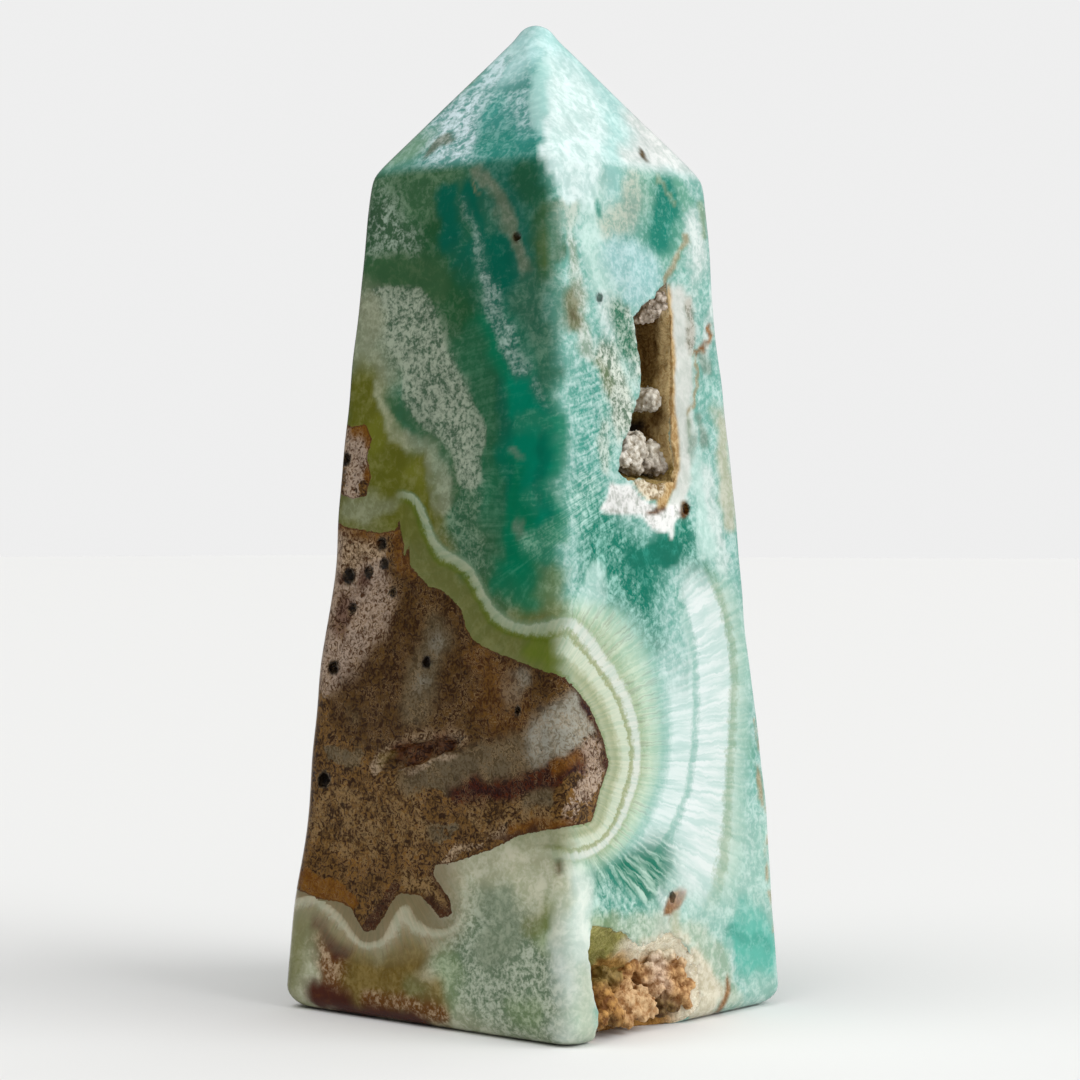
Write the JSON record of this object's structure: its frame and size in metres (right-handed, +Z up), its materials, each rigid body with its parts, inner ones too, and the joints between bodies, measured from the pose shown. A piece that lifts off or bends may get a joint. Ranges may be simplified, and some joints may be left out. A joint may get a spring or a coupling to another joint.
{
  "type": "blue aragonite generator",
  "caption": "Polished four-sided tower of blue-green banded aragonite with brown matrix, a pointed tip and two crystal-lined hollows, standing on its sawn base.",
  "frame": {"origin": "middle of the flat sawn base", "axes": "+Z up to the tip; -Y is the broad face with the brown matrix; +X is the face with the tall hollow"},
  "size_m": [0.0381, 0.0348, 0.1],
  "materials": {
    "banded_stone": "polished, with feathery blue-green bands and granular brown matrix",
    "pocket_crust": "rough cream and brown crystal lumps",
    "foot_crust": "rough orange-brown crystal lumps"
  },
  "bodies": {
    "root": {"aragonite_generator": "banded_stone", "pocket_crystals": "pocket_crust", "foot_crystals": "foot_crust"}
  },
  "joints": []
}
